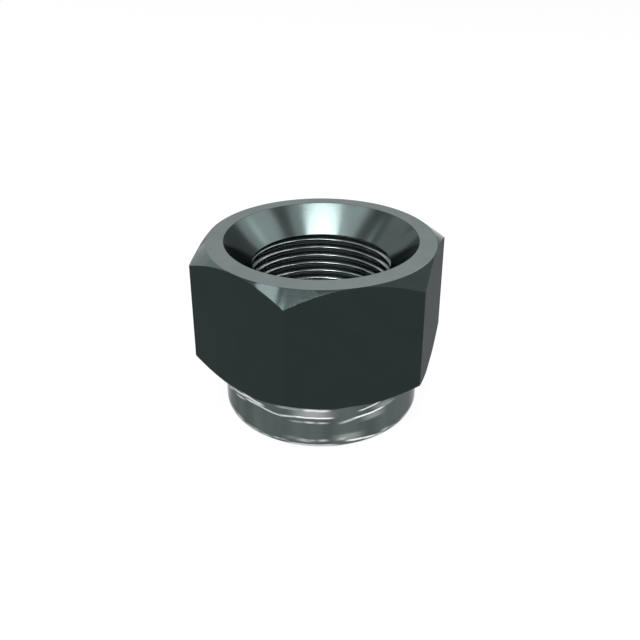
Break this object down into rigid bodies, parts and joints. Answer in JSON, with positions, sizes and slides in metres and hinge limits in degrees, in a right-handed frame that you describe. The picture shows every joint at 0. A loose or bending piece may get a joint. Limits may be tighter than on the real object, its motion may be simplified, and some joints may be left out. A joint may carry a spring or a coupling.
{
  "type": "hex lock nut",
  "caption": "Tall all-metal hexagon lock nut, chamfered at both ends, with a wide conical seat leading into a fine thread and a rolled round collar below.",
  "frame": {"origin": "centre of the collar's flat end face, which is the lowest point of the nut as it stands", "axes": "+Z along the thread's axis, from the collar towards the conical seat; two corners of the hexagon lie on the X axis and two flats are square to the Y axis"},
  "size_m": [0.0366, 0.0318, 0.0254],
  "materials": {
    "blackened_steel": "blackened steel, satin on the turned and milled faces, with the collar's outer wall burnished bright"
  },
  "bodies": {
    "root": {"lock_nut": "blackened_steel"}
  },
  "joints": []
}
